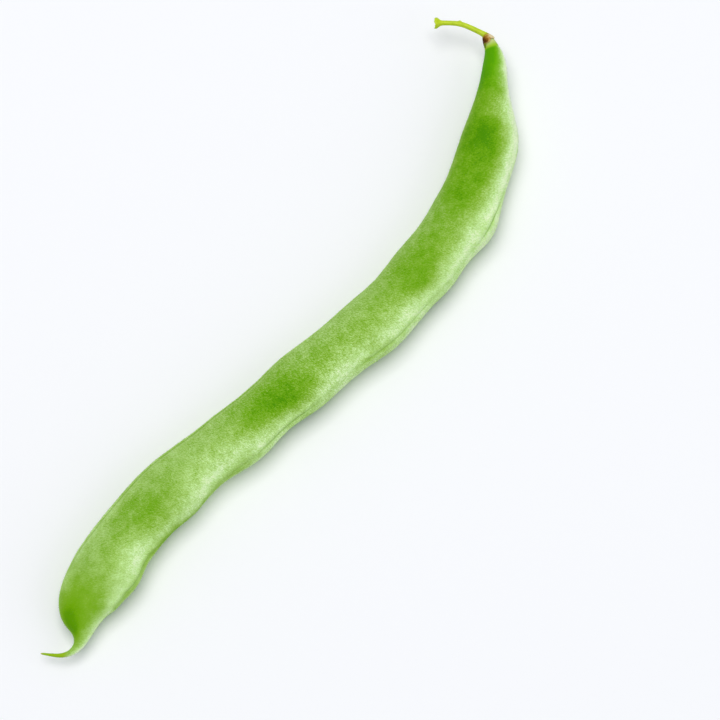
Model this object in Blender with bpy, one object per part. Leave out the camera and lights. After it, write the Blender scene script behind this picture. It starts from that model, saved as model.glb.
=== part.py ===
"""A picked green bean lying on its side: the pod, its dried calyx cup and its stalk.

All sizes are in millimetres and degrees, and become metres when the meshes are made. A station is a
distance along the pod's spine, from 0 inside the calyx to POD_LENGTH at the tip of the beak.
The pod lies on the plane z = 0, on small flats under its fullest swellings.
"""

import math

import bpy
import numpy as np
from mathutils import Vector

MM = 0.001
# The space between touching pieces.
GAP = 0.3

# The pod's spine, seen from above: straight runs joined by soft bends.
POD_LENGTH = 151.0
START_HEADING = 243.0
# Each bend: the station of its middle, how far it turns, and the length over which it turns.
BENDS = [
    (3.1, -31.7, 8.7),
    (29.5, -34.9, 40.7),
    (58.8, -11.5, 12.8),
    (109.1, 5.1, 5),
    (119.7, 14.4, 26.7),
    (136.5, 30, 6.8),
    (144.7, -97.8, 9),
]
# Station and height of the spine above the surface.
SPINE_HEIGHTS = [
    (0, 5.7),
    (13, 4.9),
    (29, 4.5),
    (47, 4.45),
    (79, 4.42),
    (109, 4.4),
    (128, 4.33),
    (136, 4),
    (145, 3.2),
    (151, 2.6),
]

# Station and half-size of the pod without its swellings, across and up.
HALF_WIDTHS = [
    (0, 0.85),
    (1.2, 1.0),
    (2.2, 1.26),
    (4, 1.82),
    (9, 2.52),
    (13, 3.28),
    (18, 4.37),
    (25, 5.18),
    (42, 5.32),
    (71, 5.34),
    (94, 4.92),
    (102, 5.12),
    (115, 5.63),
    (129, 5.7),
    (135.5, 5.02),
    (139, 3.52),
    (141.5, 1.71),
    (144.5, 0.76),
    (148, 0.38),
    (151, 0.18),
]
HALF_HEIGHTS = [
    (0, 0.9),
    (2.2, 1.15),
    (4, 1.75),
    (9, 2.5),
    (14, 3.2),
    (20, 3.85),
    (31, 4.1),
    (74, 4.1),
    (119, 4.1),
    (130, 3.9),
    (136, 3.2),
    (140, 2.1),
    (142.5, 1.2),
    (145.5, 0.65),
    (148, 0.42),
    (151, 0.2),
]
END_ROUNDING = 0.5

# Seeds push the walls out. Each seed: its station, how far it spreads along the pod, and how far it
# pushes out the ventral edge, to which it is fixed. The broad faces and the dorsal edge rise alike.
SEEDS = [
    (19.1, 4.6, 0.74),
    (35.5, 4.6, 1.17),
    (47.7, 4.8, 0.7),
    (62.2, 5.2, 0.57),
    (79.5, 5.4, 0.65),
    (94.2, 5.8, 1.23),
    (109.6, 6, 0.68),
    (128.4, 3.4, 0.77),
]
FACE_RISE = 0.52
DORSAL_RISE = 0.2

# The two sutures. Angles are round the section, from the ventral side over the top.
VENTRAL_ANGLES = [
    (0, 8),
    (23, 6),
    (27, 13),
    (31, 20),
    (35, 28),
    (39, 28),
    (47, 23),
    (55, 26),
    (63, 28),
    (71, 26),
    (79, 24),
    (87, 21),
    (95, 22),
    (99, 19),
    (106, 6),
    (113, -2),
    (119, 8),
    (123, 21),
    (131, 22),
    (136, 4),
    (151, 4),
]
DORSAL_ANGLES = [(0, 178), (29, 176), (59, 170), (84, 160), (129, 160), (151, 175)]
GROOVE_DEPTH = 0.2
GROOVE_WIDTH = 0.24
RIDGE_HEIGHT = 0.16
RIDGE_WIDTH = 0.42
RIDGE_OFFSET = 0.75
DORSAL_HEIGHT = 0.14
DORSAL_WIDTH = 0.35
SUTURE_FULL_SIZE = 4.0

POD_RINGS = 104
POD_SIDES = 40
RING_CROWDING = 1.4
SUTURE_CROWDING = 0.6

# The calyx cup: it sits over the pod's end, and its axis leans a little from there towards the stalk.
CALYX_HEADING = 66.0
CALYX_PITCH = 4.0
CALYX_LENGTH = 1.4
CALYX_FOOT_RADIUS = 0.6
CALYX_RIM_RADIUS = 1.5
CALYX_WALL = 0.26
CALYX_TEETH = 5
CALYX_TOOTH = 0.3
CALYX_SLANT = 0.2
CALYX_SIDES = 30
CALYX_RINGS = 6

# The stalk: a bend round its middle, a thin stem and a flared, torn-off end.
STALK_LENGTH = 9.6
STALK_HEADINGS = [(0, 93), (1.2, 98), (2.8, 100), (4.1, 106), (5.6, 118), (7.1, 123), (9.6, 126)]
STALK_PITCH = 6.0
STALK_POINTS = 28
STALK_RADII = [(0, 0.5), (1.6, 0.49), (4.6, 0.46), (7.6, 0.46), (8.4, 0.56), (9.0, 0.8), (9.6, 1.02)]


def through(knots, at):
    """Reads a natural cubic curve through the (station, value) knots at the given stations."""
    x, y = np.array(knots, float).T
    h = np.diff(x)
    inner = len(x) - 2
    left = np.zeros((inner, inner))
    left[range(inner), range(inner)] = 2 * (h[:-1] + h[1:])
    left[range(inner - 1), range(1, inner)] = h[1:-1]
    left[range(1, inner), range(inner - 1)] = h[1:-1]
    bend = np.zeros(len(x))
    bend[1:-1] = np.linalg.solve(left, 6 * np.diff(np.diff(y) / h))
    i = np.clip(np.searchsorted(x, at) - 1, 0, inner)
    t = np.asarray(at) - x[i]
    rest = h[i] - t
    curved = (bend[i] * rest**3 + bend[i + 1] * t**3) / (6 * h[i])
    before = (y[i] / h[i] - bend[i] * h[i] / 6) * rest
    after = (y[i + 1] / h[i] - bend[i + 1] * h[i] / 6) * t
    return curved + before + after


def walk(headings, climbs, steps):
    """Adds up steps along the headings and climbs, in radians, from a start at the origin."""
    flat = np.cos(climbs)
    ways = np.stack([flat * np.cos(headings), flat * np.sin(headings), np.sin(climbs)], -1)
    places = np.cumsum((ways[1:] + ways[:-1]) / 2 * steps[:, None], axis=0)
    return np.vstack([np.zeros(3), places])


def soft_step(x):
    """Rises smoothly from 0 to 1 as x goes from 0 to 1."""
    x = np.clip(x, 0, 1)
    return x * x * (3 - 2 * x)


def spine_heading(stations):
    """The spine's direction seen from above, in radians: the start heading plus each bend's turn so far."""
    heading = np.full(len(stations), START_HEADING)
    for middle, turn, length in BENDS:
        heading = heading + turn * soft_step((stations - middle) / length + 0.5)
    return np.radians(heading)


def spine_frames(stations):
    """The spine's points, and the directions across it to the ventral side and up from it."""
    fine = np.linspace(0, POD_LENGTH, 3001)
    path = walk(spine_heading(fine), np.zeros_like(fine), np.diff(fine))
    points = np.stack([np.interp(stations, fine, path[:, k]) for k in range(3)], -1)
    points[:, 2] = through(SPINE_HEIGHTS, stations)
    heading = spine_heading(stations)
    climb = np.arctan(np.gradient(points[:, 2], stations))
    across = np.stack([-np.sin(heading), np.cos(heading), np.zeros_like(heading)], -1)
    flat = np.cos(climb)
    along = np.stack([flat * np.cos(heading), flat * np.sin(heading), np.sin(climb)], -1)
    return points, across, np.cross(along, across)


def ring_stations(count):
    """Stations from end to end, closer together where the pod is thin."""
    fine = np.linspace(0, POD_LENGTH, 3001)
    crowd = np.cumsum(1 / (through(HALF_WIDTHS, fine) + RING_CROWDING))
    return np.interp(np.linspace(crowd[0], crowd[-1], count), crowd, fine)


def hump(distance, width):
    return np.exp(-((distance / width) ** 2))


def seed_rises(stations):
    """How far the seeds push out the ventral edge, and every other side as a share of its full rise."""
    ventral = np.zeros_like(stations)
    share = np.zeros_like(stations)
    for middle, spread, rise in SEEDS:
        swelling = hump(stations - middle, spread)
        ventral = ventral + rise * swelling
        share = share + swelling
    return ventral[:, None], share[:, None]


def section_angles(stations, sides):
    """Angles round each section, in radians, crowded towards the two sutures."""
    ventral = np.radians(through(VENTRAL_ANGLES, stations))[:, None]
    dorsal = np.radians(through(DORSAL_ANGLES, stations))[:, None]
    t = np.arange(sides // 2) / (sides // 2)
    t = t - SUTURE_CROWDING * np.sin(2 * math.pi * t) / (2 * math.pi)
    over = ventral + (dorsal - ventral) * t
    under = dorsal + (2 * math.pi + ventral - dorsal) * t
    return np.hstack([over, under]), ventral, dorsal


def pod_rings(ring_count, sides):
    """The pod's surface: an oval section carried along the spine, raised by seeds and sutures."""
    stations = ring_stations(ring_count)
    points, across, up = spine_frames(stations)
    angle, ventral, dorsal = section_angles(stations, sides)
    wide = through(HALF_WIDTHS, stations)[:, None]
    high = through(HALF_HEIGHTS, stations)[:, None]
    side, lift = np.cos(angle), np.sin(angle)
    ventral_rise, share = seed_rises(stations)
    raised = np.where(side > 0, ventral_rise, DORSAL_RISE * share) * side**2 + FACE_RISE * share * lift**2
    size = np.sqrt(wide * high)
    strength = np.clip(size / SUTURE_FULL_SIZE, 0, 1)
    from_ventral = (np.mod(angle - ventral + math.pi, 2 * math.pi) - math.pi) * size
    from_dorsal = (np.mod(angle - dorsal + math.pi, 2 * math.pi) - math.pi) * size
    ridges = hump(np.abs(from_ventral) - RIDGE_OFFSET, RIDGE_WIDTH) * RIDGE_HEIGHT
    groove = hump(from_ventral, GROOVE_WIDTH) * GROOVE_DEPTH
    raised = raised + strength * (ridges - groove + hump(from_dorsal, DORSAL_WIDTH) * DORSAL_HEIGHT)
    near_end = np.minimum(stations, POD_LENGTH - stations)[:, None]
    rounding = np.sqrt(np.clip(1 - np.clip(1 - near_end / END_ROUNDING, 0, 1) ** 2, 0, 1))
    out = (wide + raised) * side * rounding
    rise = (high + raised) * lift * rounding
    rings = points[:, None] + out[..., None] * across[:, None] + rise[..., None] * up[:, None]
    rings[..., 2] = np.maximum(rings[..., 2], 0)
    return rings


def closed_skin(name, rings):
    """A mesh through the rings. The first and last ring are single points, the poles."""
    sides = rings.shape[1]
    inner = rings[1:-1].reshape(-1, 3)
    points = np.vstack([rings[0].mean(0), inner, rings[-1].mean(0)]) * MM
    last = len(points) - 1
    faces = []
    for k in range(sides):
        n = (k + 1) % sides
        faces.append((0, 1 + n, 1 + k))
        faces.append((last, last - sides + k, last - sides + n))
        for row in range(len(rings) - 3):
            start = 1 + row * sides
            faces.append((start + k, start + n, start + sides + n, start + sides + k))
    mesh = bpy.data.meshes.new(name)
    mesh.from_pydata(points.tolist(), [], faces)
    mesh.shade_smooth()
    return bpy.data.objects.new(name, mesh)


def make_pod():
    return closed_skin("pod", pod_rings(POD_RINGS, POD_SIDES))


def direction(heading, pitch):
    heading, pitch = math.radians(heading), math.radians(pitch)
    flat = math.cos(pitch)
    return np.array([flat * math.cos(heading), flat * math.sin(heading), math.sin(pitch)])


def calyx_place():
    """The pod's end inside the cup, and the cup's directions: its axis, towards the dorsal side, and up."""
    axis = direction(CALYX_HEADING, CALYX_PITCH)
    points, _, _ = spine_frames(np.array([0.0, 0.1]))
    sideways = np.cross([0, 0, 1], axis)
    sideways = sideways / np.linalg.norm(sideways)
    return points[0], axis, sideways, np.cross(axis, sideways)


def make_calyx():
    """A cup open towards the pod: from its floor down the inside to the toothed rim, then back up outside."""
    pod_end, axis, sideways, up = calyx_place()
    t = np.linspace(0, 1, CALYX_RINGS)
    outer = CALYX_FOOT_RADIUS + (CALYX_RIM_RADIUS - CALYX_FOOT_RADIUS) * np.sin(t * math.pi / 2)
    outer_depth = GAP + CALYX_WALL - CALYX_LENGTH * t
    inner_depth = outer_depth - CALYX_WALL * (1 - t)
    radius = np.concatenate([[0], outer - CALYX_WALL, outer[::-1], [0]])
    depth = np.concatenate([inner_depth[:1], inner_depth, outer_depth[::-1], outer_depth[:1]])
    rim = np.concatenate([[0], t, t[::-1], [0]])
    turn = np.linspace(0, 2 * math.pi, CALYX_SIDES, endpoint=False)
    teeth = CALYX_TOOTH * (0.5 + 0.5 * np.cos(CALYX_TEETH * turn)) + CALYX_SLANT * np.cos(turn)
    along = depth[:, None] - rim[:, None] ** 2 * teeth
    ring = sideways * np.cos(turn)[:, None] + up * np.sin(turn)[:, None]
    rings = pod_end + along[..., None] * axis + radius[:, None, None] * ring
    return closed_skin("calyx", rings)


def make_stalk():
    """A round stem along its headings, drawn as a curve with a radius at each point."""
    pod_end, axis, _, _ = calyx_place()
    start = pod_end + axis * (2 * GAP + CALYX_WALL)
    reach = np.linspace(0, STALK_LENGTH, STALK_POINTS)
    headings = np.radians(through(STALK_HEADINGS, reach))
    climbs = np.radians(STALK_PITCH * (1 - 1.6 * reach / STALK_LENGTH))
    path = start + walk(headings, climbs, np.diff(reach))
    curve = bpy.data.curves.new("stalk", "CURVE")
    curve.dimensions = "3D"
    curve.bevel_depth = MM
    curve.bevel_resolution = 4
    curve.use_fill_caps = True
    spline = curve.splines.new("POLY")
    spline.points.add(STALK_POINTS - 1)
    spline.points.foreach_set("co", np.hstack([path * MM, np.ones((STALK_POINTS, 1))]).ravel())
    spline.points.foreach_set("radius", through(STALK_RADII, reach))
    spline.use_smooth = True
    return bpy.data.objects.new("stalk", curve)


def give_material(obj, name, colour, roughness):
    material = bpy.data.materials.new(name)
    material.use_nodes = True
    shader = material.node_tree.nodes["Principled BSDF"]
    shader.inputs["Base Color"].default_value = (*colour, 1)
    shader.inputs["Roughness"].default_value = roughness
    shader.inputs["Metallic"].default_value = 0
    obj.data.materials.append(material)


def centre_over_origin(parts):
    """Moves the parts together so that the middle of their footprint is at x = y = 0."""
    bpy.context.view_layer.update()
    corners = np.array([obj.matrix_world @ Vector(corner) for obj in parts for corner in obj.bound_box])
    middle = (corners.min(0) + corners.max(0)) / 2
    for obj in parts:
        obj.location.x -= middle[0]
        obj.location.y -= middle[1]


def build():
    for old in list(bpy.data.objects):
        bpy.data.objects.remove(old, do_unlink=True)
    collection = bpy.data.collections.new("green_bean")
    bpy.context.scene.collection.children.link(collection)
    pod, calyx, stalk = make_pod(), make_calyx(), make_stalk()
    give_material(pod, "pod_skin", (0.27, 0.5, 0.08), 0.55)
    give_material(calyx, "calyx_dry", (0.3, 0.14, 0.05), 0.8)
    give_material(stalk, "stalk_green", (0.45, 0.58, 0.05), 0.6)
    for obj in (pod, calyx, stalk):
        collection.objects.link(obj)
    centre_over_origin([pod, calyx, stalk])


build()
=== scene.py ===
"""A picked green bean lying on its side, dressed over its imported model: pod, down, calyx cup and stalk.

Lengths are in millimetres until the meshes are made, and angles in degrees. A station is a distance along
the pod's spine, from the calyx to the tip of the beak.
"""

import math

import bpy
import numpy as np
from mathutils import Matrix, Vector


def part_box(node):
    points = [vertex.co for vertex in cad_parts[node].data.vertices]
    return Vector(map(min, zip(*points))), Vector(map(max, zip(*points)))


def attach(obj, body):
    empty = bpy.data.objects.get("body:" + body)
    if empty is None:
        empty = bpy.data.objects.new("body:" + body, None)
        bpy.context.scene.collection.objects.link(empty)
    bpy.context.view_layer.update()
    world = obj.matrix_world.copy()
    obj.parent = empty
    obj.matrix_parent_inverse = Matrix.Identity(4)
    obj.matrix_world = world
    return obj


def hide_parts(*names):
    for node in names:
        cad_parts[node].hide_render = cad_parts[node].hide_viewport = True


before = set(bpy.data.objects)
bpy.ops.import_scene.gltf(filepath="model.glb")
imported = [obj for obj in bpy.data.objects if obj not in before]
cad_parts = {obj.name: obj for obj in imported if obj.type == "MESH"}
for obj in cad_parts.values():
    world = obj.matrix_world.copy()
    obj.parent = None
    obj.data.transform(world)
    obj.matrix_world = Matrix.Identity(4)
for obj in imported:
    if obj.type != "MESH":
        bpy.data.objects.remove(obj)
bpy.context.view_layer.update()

# ---------------------------------------------------------------------------------------------------------
# The pod. Fleshy green plant skin, grown in one piece round a row of seeds, from the stiff pale collar in
# the calyx to the hooked beak. Two seams run its whole length: a grooved one on the ventral edge, where
# the seeds hang, and a raised one on the dorsal edge.
# ---------------------------------------------------------------------------------------------------------

MM = 0.001
POD_LENGTH = 151.0
SPINE_STEPS = 3001
START_HEADING = 243.0
# Each bend of the spine: the station of its middle, how far it turns, and the length over which it turns.
BENDS = [
    (3.1, -31.7, 8.7),
    (29.5, -34.9, 40.7),
    (58.8, -11.5, 12.8),
    (109.1, 5.1, 5),
    (119.7, 14.4, 26.7),
    (136.5, 30, 6.8),
    (144.7, -97.8, 9),
]
SPINE_HEIGHTS = [
    (0, 5.7),
    (13, 4.9),
    (29, 4.5),
    (47, 4.45),
    (79, 4.42),
    (109, 4.4),
    (128, 4.33),
    (136, 4),
    (145, 3.2),
    (151, 2.6),
]
HALF_WIDTHS = [
    (0, 0.88),
    (1.2, 1.16),
    (2.2, 1.39),
    (4, 1.88),
    (9, 2.57),
    (13, 3.35),
    (18, 4.43),
    (25, 5.23),
    (42, 5.38),
    (71, 5.4),
    (94, 4.99),
    (102, 5.19),
    (115, 5.63),
    (129, 5.69),
    (135.5, 5.06),
    (139, 3.47),
    (141.5, 1.78),
    (144.5, 0.7),
    (148, 0.33),
    (151, 0.15),
]
HALF_HEIGHTS = [
    (0, 0.9),
    (2.2, 1.25),
    (4, 1.75),
    (9, 2.5),
    (14, 3.2),
    (20, 3.85),
    (31, 4.1),
    (74, 4.1),
    (119, 4.1),
    (130, 3.9),
    (136, 3.2),
    (140, 2.1),
    (142.5, 1.2),
    (145.5, 0.62),
    (148, 0.37),
    (151, 0.17),
]
END_ROUNDING = 0.5
# Each seed: its station, its spread along the pod, and how far it pushes out the ventral edge.
SEEDS = [
    (19.8, 4.9, 0.8),
    (36.2, 4.6, 1.4),
    (47.7, 4.8, 0.7),
    (62.2, 5.2, 0.57),
    (79.5, 5.4, 0.65),
    (94.2, 5.8, 1.23),
    (110, 4.4, 0.8),
    (128.4, 3.4, 0.77),
]
# How far a seed pushes out the faces, and the dorsal edge.
FACE_RISE = 0.52
DORSAL_RISE = 0.23
# The dorsal edge's own swells and hollows, in the same three numbers.
DORSAL_SWELLS = [
    (11.5, 4, 0.13),
    (26, 5.5, 0.14),
    (51, 5, 0.1),
    (62.5, 3.5, 0.05),
    (80.5, 5, 0.28),
    (91.5, 3.5, -0.17),
    (104, 3.5, 0.15),
    (114, 2.5, 0.09),
    (121, 10, 0.1),
    (124, 3, 0.07),
    (139.5, 2, 0.22),
]
# The seams, as angles round the section from the ventral side over the top.
VENTRAL_ANGLES = [
    (0, 8),
    (23, 6),
    (27, 13),
    (31, 20),
    (35, 28),
    (39, 25),
    (47, 23),
    (55, 26),
    (63, 28),
    (71, 26),
    (79, 24),
    (87, 21),
    (95, 22),
    (99, 19),
    (106, 6),
    (113, -2),
    (119, 8),
    (123, 20),
    (127, 18),
    (131, 21),
    (136, 4),
    (151, 4),
]
DORSAL_ANGLES = [(0, 178), (29, 176), (59, 170), (84, 160), (129, 160), (151, 175)]
# How open the ventral groove is along the pod: closed at 0, open at 1.
GROOVE_OPENNESS = [
    (0, 0),
    (28, 0),
    (31, 0.3),
    (34, 1),
    (37, 0.7),
    (39, 0.3),
    (42, 0),
    (51, 0.05),
    (55, 0.4),
    (59, 0.4),
    (63, 0.58),
    (67, 0.48),
    (71, 0),
    (79, 0.05),
    (83, 0.75),
    (91, 0.75),
    (95, 0.15),
    (99, 0.5),
    (102, 0),
    (119, 0),
    (122, 0.45),
    (125, 0.7),
    (130, 0.6),
    (134, 0),
    (151, 0),
]
GROOVE_DEPTH = 0.14
GROOVE_WIDTH = 0.13
RIDGE_HEIGHT = 0.16
RIDGE_WIDTH = 0.42
RIDGE_OFFSET = 0.75
# The share of the two ridges' height that is left where the groove between them is closed.
RIDGE_REST = 0.3
DORSAL_HEIGHT = 0.14
DORSAL_WIDTH = 0.35
# A fine furrow over the dorsal seam, between its two stations, and how far it lies from the seam. A painted
# highlight runs beside it as a pale line, a little higher, and painted shade darkens the furrow itself.
FURROW_STATIONS = (78, 136)
FURROW_OFFSET = 0.45
HIGHLIGHT_OFFSET = 0.95
FURROW_WIDTH = 0.14
FURROW_DEPTH = 0.06
FURROW_FADE = 8
UNEVENNESS = 0.018
# A section smaller than this has seams that are lower in the same measure.
SEAM_FULL_SIZE = 4.0
# The surface's rings, and the points round each. Rings crowd where the pod is thin, the more the smaller
# their number is, and points crowd at the seams, the more the nearer theirs is to 1.
POD_RINGS = 620
POD_SIDES = 156
RING_CROWDING = 4.0
SEAM_CROWDING = 0.6


def hump(distance, width):
    """A bell curve: 1 at no distance, and about 0.37 at one width."""
    return np.exp(-((distance / width) ** 2))


def soft_step(x):
    """Rises smoothly from 0 to 1 as x goes from 0 to 1."""
    x = np.clip(x, 0, 1)
    return x * x * (3 - 2 * x)


def through(knots, at):
    """Reads a natural cubic curve through the (station, value) knots at the given stations."""
    x, y = np.array(knots, float).T
    h = np.diff(x)
    inner = len(x) - 2
    left = np.zeros((inner, inner))
    left[range(inner), range(inner)] = 2 * (h[:-1] + h[1:])
    left[range(inner - 1), range(1, inner)] = h[1:-1]
    left[range(1, inner), range(inner - 1)] = h[1:-1]
    bend = np.zeros(len(x))
    bend[1:-1] = np.linalg.solve(left, 6 * np.diff(np.diff(y) / h))
    i = np.clip(np.searchsorted(x, at) - 1, 0, inner)
    t = np.asarray(at) - x[i]
    rest = h[i] - t
    curved = (bend[i] * rest**3 + bend[i + 1] * t**3) / (6 * h[i])
    before = (y[i] / h[i] - bend[i] * h[i] / 6) * rest
    after = (y[i + 1] / h[i] - bend[i + 1] * h[i] / 6) * t
    return curved + before + after


def directions(headings, climbs):
    """Unit vectors from headings round the table and climbs above it, in radians."""
    flat = np.cos(climbs)
    return np.stack([flat * np.cos(headings), flat * np.sin(headings), np.sin(climbs)], -1)


def walk(headings, climbs, steps):
    """Adds up steps along the headings and climbs, from a start at the origin."""
    ways = directions(headings, climbs)
    places = np.cumsum((ways[1:] + ways[:-1]) / 2 * steps[:, None], axis=0)
    return np.vstack([np.zeros(3), places])


def spine_frames(stations):
    """The spine's points, and the directions across it to the ventral side and up from it."""
    fine = np.linspace(0, POD_LENGTH, SPINE_STEPS)

    def heading(at):
        turns = [turn * soft_step((at - mid) / length + 0.5) for mid, turn, length in BENDS]
        return np.radians(START_HEADING + sum(turns))

    path = walk(heading(fine), 0 * fine, np.diff(fine))
    points = np.stack([np.interp(stations, fine, path[:, k]) for k in range(3)], -1)
    points[:, 2] = through(SPINE_HEIGHTS, stations)
    climbs = np.arctan(np.gradient(through(SPINE_HEIGHTS, fine), fine))
    along = directions(heading(stations), np.interp(stations, fine, climbs))
    across = directions(heading(stations) + math.pi / 2, 0 * stations)
    return points, across, np.cross(along, across)


def skin_unevenness(station, out, rise):
    """Low swells of the skin, 0.03 mm at most: a sum of waves whose lengths don't divide each other."""
    wave = np.sin(station * 1.13 + out * 0.9 + 0.4) * np.sin(rise * 1.31 - station * 0.37)
    wave = wave + 0.7 * np.sin(station * 2.3 - out * 1.7 + 2.1) * np.sin(station * 0.61 + rise * 2.2)
    return UNEVENNESS * wave


def furrow_strength(stations):
    """How strong the furrow over the dorsal seam is: it fades in and out at its two ends."""
    first, last = FURROW_STATIONS
    return soft_step((stations - first) / FURROW_FADE) * soft_step((last - stations) / FURROW_FADE)


def pod_surface(stations, angles):
    """The pod's surface: an oval section carried along the spine, raised by seeds and seams.

    A seed is a bell curve along the pod, a seam is a sum of bell curves round the section, and the last bit
    of each end is rounded like a ball. What would lie under the table is pressed flat on it.
    stations has one value a row; angles, in radians round the section, has a row for each station.
    Returns the points, the same points on a straightened pod, and the distances round the section from the
    ventral seam (negative below it) and from the dorsal seam.
    """
    points, across, up = spine_frames(stations)
    row = stations[:, None]
    wide = through(HALF_WIDTHS, stations)[:, None]
    high = through(HALF_HEIGHTS, stations)[:, None]
    side, lift = np.cos(angles), np.sin(angles)
    ventral_rise = sum(rise * hump(row - mid, spread) for mid, spread, rise in SEEDS)
    share = sum(hump(row - mid, spread) for mid, spread, _ in SEEDS)
    swells = sum(rise * hump(row - mid, spread) for mid, spread, rise in DORSAL_SWELLS)
    dorsal_rise = DORSAL_RISE * share + swells
    raised = np.where(side > 0, ventral_rise, dorsal_rise) * side**2 + FACE_RISE * share * lift**2
    size = np.sqrt(wide * high)
    strength = np.clip(size / SEAM_FULL_SIZE, 0, 1)
    ventral = np.radians(through(VENTRAL_ANGLES, stations))[:, None]
    dorsal = np.radians(through(DORSAL_ANGLES, stations))[:, None]
    from_ventral = (np.mod(angles - ventral + math.pi, 2 * math.pi) - math.pi) * size
    from_dorsal = (np.mod(angles - dorsal + math.pi, 2 * math.pi) - math.pi) * size
    openness = np.interp(row, *np.array(GROOVE_OPENNESS, float).T)
    ridges = hump(np.abs(from_ventral) - RIDGE_OFFSET, RIDGE_WIDTH) * RIDGE_HEIGHT
    ridges = ridges * (RIDGE_REST + (1 - RIDGE_REST) * openness)
    groove = hump(from_ventral, GROOVE_WIDTH) * GROOVE_DEPTH * openness
    raised = raised + strength * (ridges - groove + hump(from_dorsal, DORSAL_WIDTH) * DORSAL_HEIGHT)
    furrow = hump(from_dorsal + FURROW_OFFSET, FURROW_WIDTH) * furrow_strength(stations)[:, None]
    raised = raised - strength * furrow * FURROW_DEPTH
    raised = raised + strength * skin_unevenness(row, wide * side, high * lift)
    near_end = np.minimum(stations, POD_LENGTH - stations)[:, None]
    rounding = np.sqrt(np.clip(1 - np.clip(1 - near_end / END_ROUNDING, 0, 1) ** 2, 0, 1))
    out = (wide + raised) * side * rounding
    rise = (high + raised) * lift * rounding
    skin = points[:, None] + out[..., None] * across[:, None] + rise[..., None] * up[:, None]
    skin[..., 2] = np.maximum(skin[..., 2], 0)
    straight = np.stack([row + 0 * out, out, rise], -1)
    return skin, straight, from_ventral, from_dorsal


def pod_grid(ring_count, sides):
    """Stations and angles of an even grid over the pod, finer where it is thin and beside the seams."""
    fine = np.linspace(0, POD_LENGTH, SPINE_STEPS)
    crowd = np.cumsum(1 / (through(HALF_WIDTHS, fine) + RING_CROWDING))
    stations = np.interp(np.linspace(crowd[0], crowd[-1], ring_count), crowd, fine)
    ventral = np.radians(through(VENTRAL_ANGLES, stations))[:, None]
    dorsal = np.radians(through(DORSAL_ANGLES, stations))[:, None]
    t = np.arange(sides // 2) / (sides // 2)
    t = t - SEAM_CROWDING * np.sin(2 * math.pi * t) / (2 * math.pi)
    over = ventral + (dorsal - ventral) * t
    under = dorsal + (2 * math.pi + ventral - dorsal) * t
    return stations, np.hstack([over, under])


def pole_to_pole(values):
    """Values on a grid of rings as one value a vertex: the first and last ring are single points."""
    flat = values[1:-1].reshape(-1, *values.shape[2:])
    return np.concatenate([values[:1].mean(1), flat, values[-1:].mean(1)])


def closed_skin(name, rings):
    """A closed mesh through the rings of a grid, each joined to the next, with a pole at both ends."""
    count, sides = rings.shape[:2]
    points = pole_to_pole(rings) * MM
    here = 1 + np.arange((count - 2) * sides).reshape(count - 2, sides)
    beside = np.roll(here, -1, axis=1)
    quads = np.stack([here[:-1], beside[:-1], beside[1:], here[1:]], -1).reshape(-1, 4)
    first = np.stack([np.zeros(sides, int), beside[0], here[0]], -1)
    last = np.stack([np.full(sides, len(points) - 1), here[-1], beside[-1]], -1)
    mesh = bpy.data.meshes.new(name)
    mesh.from_pydata(points.tolist(), [], first.tolist() + last.tolist() + quads.tolist())
    mesh.shade_smooth()
    piece = bpy.data.objects.new(name, mesh)
    bpy.context.scene.collection.objects.link(piece)
    return piece


def keep_on_mesh(piece, name, values):
    """Stores one number or one direction a vertex as a named attribute."""
    kind = "FLOAT" if values.ndim == 1 else "FLOAT_VECTOR"
    layer = piece.data.attributes.new(name, kind, "POINT")
    layer.data.foreach_set("value" if kind == "FLOAT" else "vector", values.astype(np.float32).ravel())


# The skin's paleness across a face, from the ventral seam (0) to the dorsal one (1), and the soft clouds that
# add to it or take from it: station, place across, half-length, half-width in the same share, and strength.
PALENESS_ACROSS = [
    (0, 0.86),
    (0.1, 1.0),
    (0.2, 0.93),
    (0.3, 0.79),
    (0.42, 0.66),
    (0.55, 0.57),
    (0.7, 0.53),
    (0.85, 0.54),
    (1, 0.58),
]
CLOUDS = [
    (2.6, 0.45, 6.5, 0.5, -0.98),
    (3.0, 0.72, 1.6, 0.2, -0.2),
    (6.5, 0.95, 6.5, 0.22, -0.42),
    (6.7, 0.29, 7.0, 0.42, 0.8),
    (7.0, 0.05, 5.5, 0.14, 0.1),
    (9.9, 0.38, 4.2, 0.38, -0.65),
    (10.8, 0.7, 3.5, 0.25, 0.15),
    (14.5, 0.16, 3.0, 0.12, -0.08),
    (19.7, 0.52, 3.6, 0.18, -0.27),
    (21.4, 0.75, 12.0, 0.26, -0.35),
    (25.6, 0.4, 7.3, 0.2, -0.37),
    (34.1, 0.46, 4.4, 0.36, -0.22),
    (48.8, 0.42, 11.6, 0.35, -0.36),
    (51.3, 0.27, 2.9, 0.16, -0.23),
    (66.5, 0.08, 6.1, 0.45, -0.26),
    (73.9, 0.52, 2.5, 0.2, -0.16),
    (81.6, 0.22, 5.8, 0.24, -0.37),
    (84.5, 0.12, 5.5, 0.12, 0.16),
    (87.0, 0.43, 8.0, 0.4, -0.44),
    (98.6, 0.07, 4.0, 0.11, -0.32),
    (104.5, 0.04, 4.0, 0.13, -0.14),
    (115.5, -0.04, 11.4, 0.17, -0.47),
    (117.7, 0.41, 7.0, 0.48, -0.32),
    (121.1, 0.27, 5.4, 0.3, 0.12),
    (124.0, 0.93, 9.0, 0.14, 0.16),
    (136.1, 0.24, 7.4, 0.46, -0.35),
    (137.0, 0.1, 4.0, 0.16, 0.17),
    (139.8, 0.78, 2.6, 0.16, -0.72),
    (141.8, 0.28, 2.8, 0.25, 0.13),
]
# Painted shade on the lip under the ventral seam, near the last seed: it is darker and greener than the face
# above it.
LIP_STATION = 127.5
LIP_LENGTH = 7.5
LIP_PAINTED_SHADE = 0.16
LIP_EDGE = 0.4
# The widths of the painted shade in the ventral groove and of the painted highlight by the dorsal seam.
GROOVE_SHADE_WIDTH = 0.11
HIGHLIGHT_WIDTH = 0.26


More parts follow.
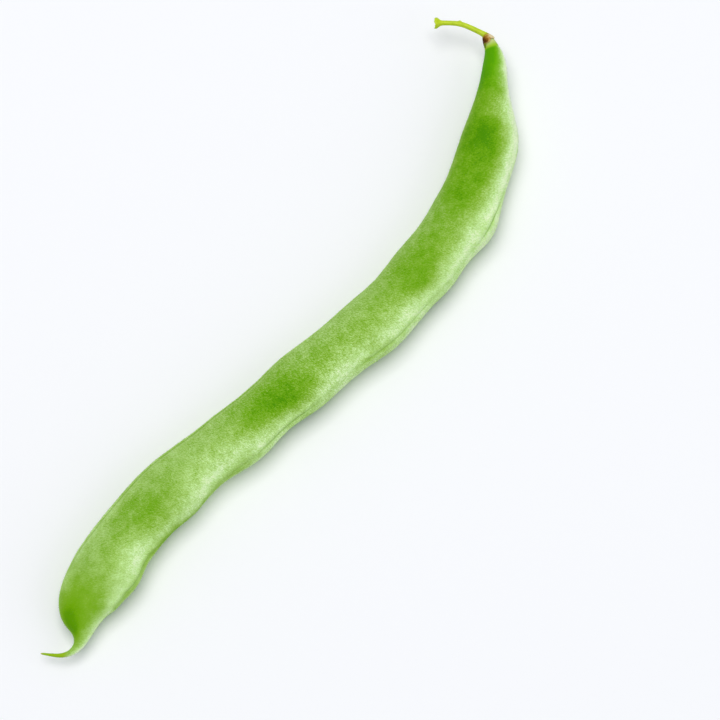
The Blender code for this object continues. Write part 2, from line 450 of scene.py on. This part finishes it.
def skin_paleness(station, share, below):
    """Paleness by the place across the face, plus the clouds, each a bell curve in both directions.

    A painted shade on the lip is taken off below the ventral seam, and is full at the lip's edge.
    """
    paleness = np.interp(share, *np.array(PALENESS_ACROSS, float).T)
    for middle, place, length, width, strength in CLOUDS:
        paleness = paleness + strength * hump(station - middle, length) * hump(share - place, width)
    return paleness - LIP_PAINTED_SHADE * hump(station - LIP_STATION, LIP_LENGTH) * soft_step(below / LIP_EDGE)


def grain_strength(station, share):
    """Strongest over the middle seeds, and weak beside the ventral seam, on the neck and towards the beak."""
    middle_seeds = 0.4 * hump(station - 79, 16)
    seam_side = 0.45 * hump(share, 0.16)
    neck = 0.35 * soft_step((14 - station) / 8)
    beak = 0.5 * soft_step((station - 122) / 14)
    return 1 + middle_seeds - seam_side - neck - beak


def painted_sheen_strength(station, share):
    """A painted sheen: a thin greyish tint over the dorsal half, but not on the neck or the beak."""
    on_body = soft_step((station - 26) / 12) * soft_step((136 - station) / 8)
    return on_body * hump(share - 0.74, 0.24)


pod_stations, pod_angles = pod_grid(POD_RINGS, POD_SIDES)
pod_skin, pod_straight, from_ventral, from_dorsal = pod_surface(pod_stations, pod_angles)
pod_low, pod_high = (np.array(corner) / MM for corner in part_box("pod"))
own_low, own_high = pod_skin.reshape(-1, 3).min(0), pod_skin.reshape(-1, 3).max(0)
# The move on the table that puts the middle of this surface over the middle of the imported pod.
pod_place = (pod_low + pod_high - own_low - own_high) / 2 * np.array([1, 1, 0])
pod = closed_skin("pod_skin", pod_skin + pod_place)
across_face = np.abs(from_ventral) / (np.abs(from_ventral) + np.abs(from_dorsal) + 1e-6)
seam_openness = np.interp(pod_stations, *np.array(GROOVE_OPENNESS, float).T)[:, None]
furrow_here = furrow_strength(pod_stations)[:, None]
every_station = pod_straight[..., 0]
skin_maps = {
    "straightened": pod_straight,
    "paleness": skin_paleness(every_station, across_face, -from_ventral),
    "painted_sheen": painted_sheen_strength(every_station, across_face),
    "grain_strength": grain_strength(every_station, across_face),
    # Painted shade in the ventral groove, as strong as the groove is open.
    "groove_shade": seam_openness * hump(from_ventral, GROOVE_SHADE_WIDTH),
    # A painted highlight by the dorsal seam, beside the furrow where there is one.
    "dorsal_highlight": hump(from_dorsal + HIGHLIGHT_OFFSET * furrow_here, HIGHLIGHT_WIDTH),
    # Painted shade in the furrow over the dorsal seam.
    "furrow": furrow_here * hump(from_dorsal + FURROW_OFFSET, FURROW_WIDTH),
}
for map_name, values in skin_maps.items():
    keep_on_mesh(pod, map_name, pole_to_pole(values))


def linear(code):
    """An sRGB hex colour, such as "8fb04a", as linear red, green, blue and 1."""
    channels = np.array([int(code[k : k + 2], 16) for k in (0, 2, 4)]) / 255
    light = np.where(channels <= 0.04045, channels / 12.92, ((channels + 0.055) / 1.055) ** 2.4)
    return (*light.tolist(), 1.0)


def add_node(tree, kind, inputs=None, output=0, stops=(), **settings):
    """Adds a shader node with its settings, sets or links its inputs, and gives back one of its outputs.

    The stops are the places and colours of a ramp, from 0 to 1.
    """
    node = tree.nodes.new("ShaderNode" + kind)
    for name, value in settings.items():
        setattr(node, name, value)
    for name, value in (inputs or {}).items():
        if isinstance(value, bpy.types.NodeSocket):
            tree.links.new(value, node.inputs[name])
        else:
            node.inputs[name].default_value = value
    for place, code in stops:
        ramp = node.color_ramp.elements
        stop = ramp[0] if place == 0 else ramp[-1] if place == 1 else ramp.new(place)
        stop.color = linear(code)
    return node.outputs[output] if node.outputs else node


def new_finish(name):
    """A material whose node tree holds one shader, joined to its output."""
    material = bpy.data.materials.new(name)
    material.use_nodes = True
    tree = material.node_tree
    tree.nodes.clear()
    surface = add_node(tree, "BsdfPrincipled")
    add_node(tree, "OutputMaterial", {"Surface": surface})
    return material, tree, surface.node.inputs


# The sizes of the skin's fine grain, its slanting streaks (across and along them) and its soft blotches.
GRAIN_SIZE = 0.16
STREAK_SIZES = (0.16, 0.48, 0.48)
STREAK_SLANT = 30
BLOTCH_SIZE = 1.9
GRAIN_CONTRAST = 0.68
BLOTCH_CONTRAST = 0.36
SKIN_GREENS = [
    (0.0, "4c8e00"),
    (0.2, "6ba406"),
    (0.4, "85b234"),
    (0.6, "a4cb66"),
    (0.8, "c4e797"),
    (1.0, "e8f8cc"),
]
# Painted light along the seams: shade in the ventral groove, a highlight by the dorsal seam and shade in the
#  dorsal furrow. For each: the map that places it, its strength and its colour.
SEAM_SHADE_AND_HIGHLIGHT = [("groove_shade", 1.0, "86b44c"), ("dorsal_highlight", 0.4, "a9cb78"), ("furrow", 0.7, "739c2c")]
# The tints at the pod's ends, one over the other: the station where each begins and the one where it is full,
# its strength there, its colour, and whether only the dark clouds take it. They are the green of the neck and
# the yellower one before the beak, then the collar and its pale rim, and last the beak and its dry tip.
END_TINTS = [
    (14.0, 4.0, 0.4, "64ba00", True),
    (130.0, 136.0, 0.38, "78ae00", True),
    (2.35, 1.8, 1.0, "9cc42a", False),
    (1.9, 0.9, 1.0, "c3d283", False),
    (145.3, 147.0, 1.0, "94b81c", False),
    (150.2, 151.2, 1.0, "b5a04c", False),
]


# Fresh green bean skin: a waxy cuticle under short down, so it is matte, with a soft and wide sheen. Its
# green is darkest in clouds along each face and palest beside the ventral seam, and grains and short slanting
# streaks of 0.2 to 0.5 mm break up every change of shade.
def make_pod_finish():
    """Paleness from the mesh and three sizes of noise in the straightened pod, read through a ramp of greens.

    The painted sheen, the painted shade and highlight along the seams and the tints of the two ends are laid
    over that in turn.
    """
    material, tree, skin = new_finish("fresh_bean_skin")
    place = add_node(tree, "Attribute", output="Vector", attribute_name="straightened")
    paleness = add_node(tree, "Attribute", output="Fac", attribute_name="paleness")
    station = add_node(tree, "SeparateXYZ", {0: place})

    slant = (0, 0, math.radians(STREAK_SLANT))
    turned = {0: place, "Rotation": slant, "Scale": STREAK_SIZES}
    along_streaks = add_node(tree, "Mapping", turned, vector_type="TEXTURE")
    streaks = add_node(tree, "TexNoise", {"Vector": along_streaks, "Scale": 1.0, "Detail": 2.0})
    fine = {"Vector": place, "Scale": 1 / GRAIN_SIZE, "Detail": 2.0, "Roughness": 0.6}
    grain = add_node(tree, "TexNoise", fine)
    blotches = add_node(tree, "TexNoise", {"Vector": place, "Scale": 1 / BLOTCH_SIZE, "Detail": 1.5})

    grain_here = add_node(tree, "Attribute", output="Fac", attribute_name="grain_strength")
    texture = add_node(tree, "Math", {0: streaks, 1: grain}, operation="ADD")
    texture = add_node(tree, "Math", {0: texture, 1: 0.9, 2: -0.9}, operation="MULTIPLY_ADD")
    texture = add_node(tree, "Math", {0: texture, 1: grain_here}, operation="MULTIPLY")
    shade = add_node(tree, "Math", {0: blotches, 1: BLOTCH_CONTRAST, 2: paleness}, operation="MULTIPLY_ADD")
    shade = add_node(tree, "Math", {0: texture, 1: GRAIN_CONTRAST, 2: shade}, operation="MULTIPLY_ADD")
    shade = add_node(tree, "Math", {0: shade, 1: BLOTCH_CONTRAST / 2}, operation="SUBTRACT")
    colour = add_node(tree, "ValToRGB", {0: shade}, stops=SKIN_GREENS)

    # Painted sheen: a greyish tint over the dorsal half, weaker in the dark clouds.
    painted_sheen = add_node(tree, "Attribute", output="Fac", attribute_name="painted_sheen")
    sheen_by_shade = {0: shade, 1: 0.2, 2: 0.5, 4: 0.1}
    sheen_by_shade = add_node(tree, "MapRange", sheen_by_shade, interpolation_type="SMOOTHSTEP")
    painted_sheen = add_node(tree, "Math", {0: painted_sheen, 1: sheen_by_shade}, operation="MULTIPLY")
    colour = add_node(tree, "Mix", {0: painted_sheen, 6: colour, 7: linear("b4c8ac")}, 2, data_type="RGBA")
    # Painted shade and highlight along the seams, laid over the greens.
    for map_name, strength, code in SEAM_SHADE_AND_HIGHLIGHT:
        line = add_node(tree, "Attribute", output="Fac", attribute_name=map_name)
        line = add_node(tree, "Math", {0: line, 1: strength}, operation="MULTIPLY")
        colour = add_node(tree, "Mix", {0: line, 6: colour, 7: linear(code)}, 2, data_type="RGBA")
    dark = add_node(tree, "MapRange", {0: shade, 1: 0.75, 2: 0.35}, interpolation_type="SMOOTHSTEP")
    for begins, full, strength, code, on_dark in END_TINTS:
        reach = {0: station, 1: begins, 2: full, 4: strength}
        tint = add_node(tree, "MapRange", reach, interpolation_type="SMOOTHSTEP")
        if on_dark:
            tint = add_node(tree, "Math", {0: tint, 1: dark}, operation="MULTIPLY")
        colour = add_node(tree, "Mix", {0: tint, 6: colour, 7: linear(code)}, 2, data_type="RGBA")
    tree.links.new(colour, skin["Base Color"])

    skin["Roughness"].default_value = 0.58
    skin["IOR"].default_value = 1.42
    skin["Specular IOR Level"].default_value = 0.045
    skin["Subsurface Weight"].default_value = 0.15
    skin["Subsurface Radius"].default_value = (0.7, 1.0, 0.3)
    skin["Subsurface Scale"].default_value = 0.7 * MM
    skin["Sheen Weight"].default_value = 0.025
    skin["Sheen Roughness"].default_value = 0.4
    bump = add_node(tree, "Bump", {"Strength": 0.5, "Distance": 0.03 * MM, "Height": texture})
    tree.links.new(bump, skin["Normal"])
    return material


pod.data.materials.append(make_pod_finish())
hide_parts("pod")
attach(pod, "root")

# ---------------------------------------------------------------------------------------------------------
# The down. Short soft hairs that the whole pod's skin bears, clear and silvery, each one cell wide. They lean
# towards the beak, and are drawn 0.03 mm thick, about twice their real thickness, so that they show.
# ---------------------------------------------------------------------------------------------------------

HAIR_COUNT = 26000
HAIR_LENGTHS = (0.14, 0.3)
HAIR_BASE_RADIUS = 0.016
HAIR_SINK = 0.02
# How far a hair leans outwards, along the pod and to a random side.
HAIR_WAY = (0.7, 0.6, 0.35)
HAIR_CLEARANCE = 0.005
HAIR_TINT_SIZE = 1.1


def down_spikes(surface, count):
    """Three-sided spikes, each rooted at an even random place on a surface's grid and leaning along it.

    A root lies between the grid points around it. The spike's way is a sum of the outward direction there,
    the direction along the pod and a random one. No spike goes under the table.
    """
    random = np.random.default_rng(7)
    ring_gaps = np.linalg.norm(np.diff(surface, axis=0), axis=2).mean(1)
    room = np.cumsum(ring_gaps * np.ptp(surface, axis=1).max(1)[1:])
    ring = np.interp(random.random(count) * room[-1], room, np.arange(len(room)))
    sides = surface.shape[1]
    side = random.random(count) * sides
    i, j = ring.astype(int), side.astype(int)
    v, w = (ring - i)[:, None], (side - j)[:, None]
    corner = surface[i, j % sides]
    along = surface[i + 1, j % sides] - corner
    around = surface[i, (j + 1) % sides] - corner
    root = corner + along * v + around * w
    outward = np.cross(around, along)
    outward, along = (x / (np.linalg.norm(x, axis=1, keepdims=True) + 1e-9) for x in (outward, along))
    out_share, along_share, random_share = HAIR_WAY
    way = out_share * outward + along_share * along + random_share * random.normal(size=(count, 3))
    way = way / np.linalg.norm(way, axis=1, keepdims=True)
    beside = np.cross(way, along + 1e-3)
    beside = beside / np.linalg.norm(beside, axis=1, keepdims=True)
    other = np.cross(way, beside)
    turn = np.radians([0, 120, 240])
    spread = beside[:, None] * np.cos(turn)[:, None] + other[:, None] * np.sin(turn)[:, None]
    foot = (root - HAIR_SINK * outward)[:, None] + HAIR_BASE_RADIUS * spread
    tip = root + way * random.uniform(*HAIR_LENGTHS, count)[:, None]
    spike = np.concatenate([foot, tip[:, None]], axis=1)
    spike[..., 2] = np.maximum(spike[..., 2], HAIR_CLEARANCE)
    return spike


spikes = down_spikes(pod_skin[2:-2] + pod_place, HAIR_COUNT)
first_corner = 4 * np.arange(HAIR_COUNT)[:, None, None]
spike_faces = (first_corner + np.array([[0, 1, 3], [1, 2, 3], [2, 0, 3], [2, 1, 0]])).reshape(-1, 3)
down_mesh = bpy.data.meshes.new("pod_down")
down_mesh.from_pydata((spikes.reshape(-1, 3) * MM).tolist(), [], spike_faces.tolist())
down = bpy.data.objects.new("pod_down", down_mesh)
bpy.context.scene.collection.objects.link(down)


# Clear plant hair: almost no colour of its own, so it is pale, a little green from the skin, and half clear.
def make_down_finish():
    """A pale, half clear shader, with a faint change of tint from hair to hair."""
    material, tree, hair = new_finish("clear_plant_hair")
    place = add_node(tree, "TexCoord", output="Object")
    tint = add_node(tree, "TexNoise", {"Vector": place, "Scale": 1 / (HAIR_TINT_SIZE * MM), "Detail": 1.0})
    colour = add_node(tree, "Mix", {0: tint, 6: linear("94c448"), 7: linear("c8e690")}, 2, data_type="RGBA")
    tree.links.new(colour, hair["Base Color"])
    hair["Roughness"].default_value = 0.5
    hair["Specular IOR Level"].default_value = 0.2
    hair["Alpha"].default_value = 0.55
    return material


down.data.materials.append(make_down_finish())
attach(down, "root")

# ---------------------------------------------------------------------------------------------------------
# The calyx. The dried remains of the flower's green cup, papery and brown, in one piece. It grips the pod's
# collar, and its torn teeth lie against it.
# ---------------------------------------------------------------------------------------------------------

CALYX_HEADING = 66.0
CALYX_PITCH = 4.0
CALYX_LENGTH = 1.5
CALYX_FOOT_RADIUS = 0.62
CALYX_RIM_RADIUS = 1.37
CALYX_FLOOR = 0.85
CALYX_WALL = 0.18
CALYX_RIM_THINNING = 0.45
CALYX_TOOTH = 0.6
CALYX_TOOTH_TURN = 0.3
CALYX_TOOTH_SPREAD = 0.09
CALYX_TOOTH_FLARE = 0.2
# How much nearer the rim comes to the pod on the ventral side, as a share of its radius.
CALYX_LEAN = 0.06
# Waves round the cup: the height of each, how many go round, and its turn.
CALYX_RIBS = [(0.035, 10, 0.6), (0.02, 23, 1.9)]
CALYX_TEETH = [(0.15, 0, 0), (0.2, 1, 0), (0.15, 5, 0), (0.03, 13, 0.7), (0.015, 29, 2.0)]
CALYX_SIDES = 120
CALYX_RINGS = 40
CALYX_MOTTLE_SIZE = 0.38
CALYX_BROWNS = [(0.0, "decb9c"), (0.35, "c09650"), (0.6, "94661a"), (1.0, "542a00")]


def waves_round(waves, turn):
    """A sum of cosines of the turn round a section."""
    return sum(height * np.cos(count * turn + start) for height, count, start in waves)


def calyx_surface(pod_end, axis, sideways, up):
    """A thin cup: from its floor down the inside to a ragged rim, then back up outside, with low ribs.

    The radius grows from foot to rim, more slowly towards the rim and less on the ventral side. The rim's
    depth is a sum of cosines round it, plus one long tooth that stands off a little on the dorsal side.
    """
    t = np.linspace(0, 1, CALYX_RINGS)[:, None]
    turn = np.linspace(0, 2 * math.pi, CALYX_SIDES, endpoint=False)[None]
    widening = 0.5 * t + 0.5 * np.sin(t * math.pi / 2)
    outer = CALYX_FOOT_RADIUS + (CALYX_RIM_RADIUS - CALYX_FOOT_RADIUS) * widening
    outer = outer + waves_round(CALYX_RIBS, turn) * t
    tooth = np.exp((np.cos(turn - CALYX_TOOTH_TURN) - 1) / CALYX_TOOTH_SPREAD)
    outer = outer * (1 - CALYX_LEAN * (1 - np.cos(turn)) * t) + CALYX_TOOTH_FLARE * tooth * t**3
    thickness = CALYX_WALL * (1 - CALYX_RIM_THINNING * t)
    teeth = waves_round(CALYX_TEETH, turn) + CALYX_TOOTH * tooth
    outer_depth = CALYX_FLOOR - CALYX_LENGTH * t - t**2 * teeth
    inner_depth = outer_depth - CALYX_WALL * (1 - t)
    radius = np.concatenate([0 * turn, outer - thickness, outer[::-1], 0 * turn])
    depth = np.concatenate([inner_depth[:1], inner_depth, outer_depth[::-1], outer_depth[:1]])
    ring = sideways * np.cos(turn)[..., None] + up * np.sin(turn)[..., None]
    return pod_end + depth[..., None] * axis + radius[..., None] * ring


pod_end = spine_frames(np.zeros(1))[0][0] + pod_place
cup_axis = directions(math.radians(CALYX_HEADING), math.radians(CALYX_PITCH))
cup_sideways = directions(math.radians(CALYX_HEADING + 90), 0)
cup_up = np.cross(cup_axis, cup_sideways)
cup = calyx_surface(pod_end, cup_axis, cup_sideways, cup_up)
calyx = closed_skin("calyx_cup", cup)
in_the_cup = pole_to_pole(cup - pod_end) @ np.stack([cup_axis, cup_sideways, cup_up], 1)
keep_on_mesh(calyx, "round_the_cup", in_the_cup)


# Dry calyx tissue: dark brown where it has withered, pale straw where it is still soft, and dull, with a
# mottle of about 0.4 mm.
def make_calyx_finish():
    """Brown to straw across the cup, green at the foot, straw at the rim and green again at the long tooth.

    A noise moves the edge of each.
    """
    material, tree, tissue = new_finish("dried_calyx_tissue")
    place = add_node(tree, "Attribute", output="Vector", attribute_name="round_the_cup")
    depth = add_node(tree, "SeparateXYZ", {0: place})
    dorsal_way = depth.node.outputs[1]
    mottled = {"Vector": place, "Scale": 1 / CALYX_MOTTLE_SIZE, "Detail": 4.0, "Roughness": 0.6}
    mottle = add_node(tree, "TexNoise", mottled)
    moved = add_node(tree, "Math", {0: mottle, 1: 1.7, 2: dorsal_way}, operation="MULTIPLY_ADD")
    browned = add_node(tree, "MapRange", {0: moved, 1: 0.35, 2: 1.65})
    brown = add_node(tree, "ValToRGB", {0: browned}, stops=CALYX_BROWNS)
    foot = add_node(tree, "MapRange", {0: depth, 1: 0.3, 2: 0.8}, interpolation_type="SMOOTHSTEP")
    colour = add_node(tree, "Mix", {0: foot, 6: brown, 7: linear("a8a01e")}, 2, data_type="RGBA")
    deeper = add_node(tree, "Math", {0: mottle, 1: 0.6, 2: depth}, operation="MULTIPLY_ADD")
    at_rim = {0: deeper, 1: -0.3, 2: -0.7, 4: 0.8}
    rim = add_node(tree, "MapRange", at_rim, interpolation_type="SMOOTHSTEP")
    colour = add_node(tree, "Mix", {0: rim, 6: colour, 7: linear("d0b468")}, 2, data_type="RGBA")
    tooth = add_node(tree, "MapRange", {0: deeper, 1: -0.25, 2: -0.6}, interpolation_type="SMOOTHSTEP")
    dorsal_side = {0: dorsal_way, 1: 0.75, 2: 1.15}
    dorsal_side = add_node(tree, "MapRange", dorsal_side, interpolation_type="SMOOTHSTEP")
    tooth = add_node(tree, "Math", {0: tooth, 1: dorsal_side}, operation="MULTIPLY")
    colour = add_node(tree, "Mix", {0: tooth, 6: colour, 7: linear("6c8410")}, 2, data_type="RGBA")
    tree.links.new(colour, tissue["Base Color"])
    tissue["Roughness"].default_value = 0.75
    tissue["Specular IOR Level"].default_value = 0.1
    bump = add_node(tree, "Bump", {"Strength": 0.6, "Distance": 0.05 * MM, "Height": mottle})
    tree.links.new(bump, tissue["Normal"])
    return material


calyx.data.materials.append(make_calyx_finish())
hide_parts("calyx")
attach(calyx, "root")

# ---------------------------------------------------------------------------------------------------------
# The stalk. The bean's own short stem, still fresh and yellow-green, in one piece with the small swelling
# that carries the calyx. It was pulled off the plant, so its far end flares and is torn.
# ---------------------------------------------------------------------------------------------------------

STALK_LENGTH = 10.05
# The stalk's heading along it, its pitch at its two ends and its radius along it. It bends most at the scar.
STALK_HEADINGS = [(0, 93), (1.2, 98), (3, 100), (4.5, 106), (6, 118), (7.5, 123), (10, 126)]
STALK_PITCHES = (6.0, -3.6)
STALK_RADII = [
    (0, 0.64),
    (0.4, 0.57),
    (1.0, 0.52),
    (1.8, 0.5),
    (5.0, 0.48),
    (8.3, 0.46),
    (8.9, 0.55),
    (9.35, 0.82),
    (9.7, 1.04),
    (10.05, 1.0),
]
STALK_RINGS = 150
STALK_SIDES = 64
# Waves round the stem and along its torn edge, in the same numbers as the calyx's.
STALK_FURROWS = [(0.035, 6, 0.3), (0.02, 11, 1.4)]
TORN_EDGE = [(0.07, 3, 0.8), (0.06, 7, 2.2), (0.04, 17, 0)]
TORN_LENGTH = 1.3
TORN_DEPTH = 0.15
END_RINGS = 14
SCAR_STATION = 5.4
SCAR_HEIGHT = 0.24
SCAR_LENGTH = 0.3
SCAR_SPREAD = 0.45
STALK_MOTTLE_SIZE = 0.8
# How far the stalk reaches into the floor of the cup.
STALK_SINK = 0.15


def stalk_surface(start):
    """A round stem carried along one slow bend, with shallow furrows, a leaf scar and a torn, hollow end.

    The radius is the stem's own, times the waves of the furrows, plus a low hump for the scar. The torn edge
    is moved along the stem by waves round it, and the face inside it sinks as a parabola.
    """
    reach = np.linspace(0, STALK_LENGTH, STALK_RINGS)
    headings = np.radians(through(STALK_HEADINGS, reach))
    climbs = np.radians(np.linspace(*STALK_PITCHES, STALK_RINGS))
    path = start + walk(headings, climbs, np.diff(reach))
    along = directions(headings, climbs)
    across = directions(headings + math.pi / 2, 0 * headings)
    up = np.cross(along, across)
    turn = np.linspace(0, 2 * math.pi, STALK_SIDES, endpoint=False)[None]
    scar = hump(reach[:, None] - SCAR_STATION, SCAR_LENGTH) * hump(turn - math.pi, SCAR_SPREAD)
    radius = through(STALK_RADII, reach)[:, None] * (1 + waves_round(STALK_FURROWS, turn))
    radius = radius + SCAR_HEIGHT * scar
    tear = soft_step((reach[:, None] - STALK_LENGTH) / TORN_LENGTH + 1) * waves_round(TORN_EDGE, turn)
    ring = across[:, None] * np.cos(turn)[..., None] + up[:, None] * np.sin(turn)[..., None]
    side = path[:, None] + radius[..., None] * ring + tear[..., None] * along[:, None]
    inward = np.linspace(1, 0, END_RINGS)[1:, None]
    sunk = -TORN_DEPTH * (1 - inward**2) + tear[-1:] * inward**2
    face = path[-1] + (radius[-1:] * inward)[..., None] * ring[-1:] + sunk[..., None] * along[-1]
    return np.concatenate([side[:1].mean(1, keepdims=True) + 0 * side[:1], side, face])


stalk_start = pod_end + cup_axis * (CALYX_FLOOR - STALK_SINK)
stalk = closed_skin("stalk_stem", stalk_surface(stalk_start))


# Young bean stem: smooth, yellow-green and a little glossy, with soft paler patches.
def make_stalk_finish():
    """Two yellow greens mixed by soft noise, which also raises the skin a little."""
    material, tree, stem = new_finish("fresh_bean_stem")
    place = add_node(tree, "TexCoord", output="Object")
    patches = {"Vector": place, "Scale": 1 / (STALK_MOTTLE_SIZE * MM), "Detail": 4.0}
    mottle = add_node(tree, "TexNoise", patches)
    mixed = add_node(tree, "MapRange", {0: mottle, 1: 0.3, 2: 0.7})
    colour = add_node(tree, "Mix", {0: mixed, 6: linear("adc800"), 7: linear("c8da2c")}, 2, data_type="RGBA")
    tree.links.new(colour, stem["Base Color"])
    stem["Roughness"].default_value = 0.45
    stem["Specular IOR Level"].default_value = 0.25
    stem["Subsurface Weight"].default_value = 0.15
    stem["Subsurface Radius"].default_value = (1.0, 1.0, 0.3)
    stem["Subsurface Scale"].default_value = 0.4 * MM
    bump = add_node(tree, "Bump", {"Strength": 0.4, "Distance": 0.03 * MM, "Height": mottle})
    tree.links.new(bump, stem["Normal"])
    return material


stalk.data.materials.append(make_stalk_finish())
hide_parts("stalk")
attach(stalk, "root")

# ---------------------------------------------------------------------------------------------------------
# The table, the light and the camera. A smooth white table under a broad soft light from the dorsal side,
# and a camera that looks down steeply, so that the bean lies slanting across the view.
# ---------------------------------------------------------------------------------------------------------

TABLE_SIZE = 4000.0
TABLE_GAP = 0.01
VIEW_TARGET = np.array([6.22, -9.17, 0.0])
VIEW_HEADING = -145.09
VIEW_ELEVATION = 75.0
VIEW_DISTANCE = 500.0
LENS = 135.67
SENSOR_WIDTH = 36.0
NEAREST_SEEN = 10.0
SKY_COLOUR = "eff5ff"
SKY_STRENGTH = 0.46
# Each soft box: its name, its place, its width, its power in watts and its light's red, green and blue.
SOFT_BOXES = [
    ("key_softbox", (70, 180, 1080), 750, 7.75, (1.0, 0.985, 0.96)),
    ("fill_softbox", (300, -820, 500), 800, 1.7, (0.96, 0.98, 1.0)),
]


def make_table():
    """A square of one face, a hair's breadth under the pod."""
    half = TABLE_SIZE / 2
    corners = np.array([(-half, -half), (half, -half), (half, half), (-half, half)])
    points = np.column_stack([corners, np.full(4, -TABLE_GAP)]) * MM
    mesh = bpy.data.meshes.new("table_top")
    mesh.from_pydata(points.tolist(), [], [(0, 1, 2, 3)])
    table = bpy.data.objects.new("table_top", mesh)
    bpy.context.scene.collection.objects.link(table)
    material, _, surface = new_finish("white_table")
    surface["Base Color"].default_value = linear("f7f7f8")
    surface["Roughness"].default_value = 0.7
    surface["Specular IOR Level"].default_value = 0.1
    mesh.materials.append(material)


def add_soft_box(name, place, width, power, colour):
    """A square area light, turned to shine at the bean."""
    light = bpy.data.lights.new(name, "AREA")
    light.shape = "SQUARE"
    light.size = width * MM
    light.energy = power
    light.color = colour
    box = bpy.data.objects.new(name, light)
    box.location = Vector(place) * MM
    box.rotation_euler = (-Vector(place)).to_track_quat("-Z", "Y").to_euler()
    bpy.context.scene.collection.objects.link(box)


def add_camera():
    """Looks at the target from the heading and elevation, as far away as the view distance."""
    back = directions(math.radians(VIEW_HEADING), math.radians(VIEW_ELEVATION))
    lens = bpy.data.cameras.new("camera")
    lens.lens = LENS
    lens.sensor_width = SENSOR_WIDTH
    lens.clip_start = NEAREST_SEEN * MM
    camera = bpy.data.objects.new("camera", lens)
    camera.location = ((VIEW_TARGET + back * VIEW_DISTANCE) * MM).tolist()
    camera.rotation_euler = Vector((-back).tolist()).to_track_quat("-Z", "Y").to_euler()
    bpy.context.scene.collection.objects.link(camera)
    bpy.context.scene.camera = camera


make_table()
world = bpy.data.worlds.new("studio")
world.use_nodes = True
sky = world.node_tree.nodes["Background"].inputs
sky["Color"].default_value = linear(SKY_COLOUR)
sky["Strength"].default_value = SKY_STRENGTH
bpy.context.scene.world = world
for soft_box in SOFT_BOXES:
    add_soft_box(*soft_box)
add_camera()
bpy.context.scene.view_settings.view_transform = "Standard"
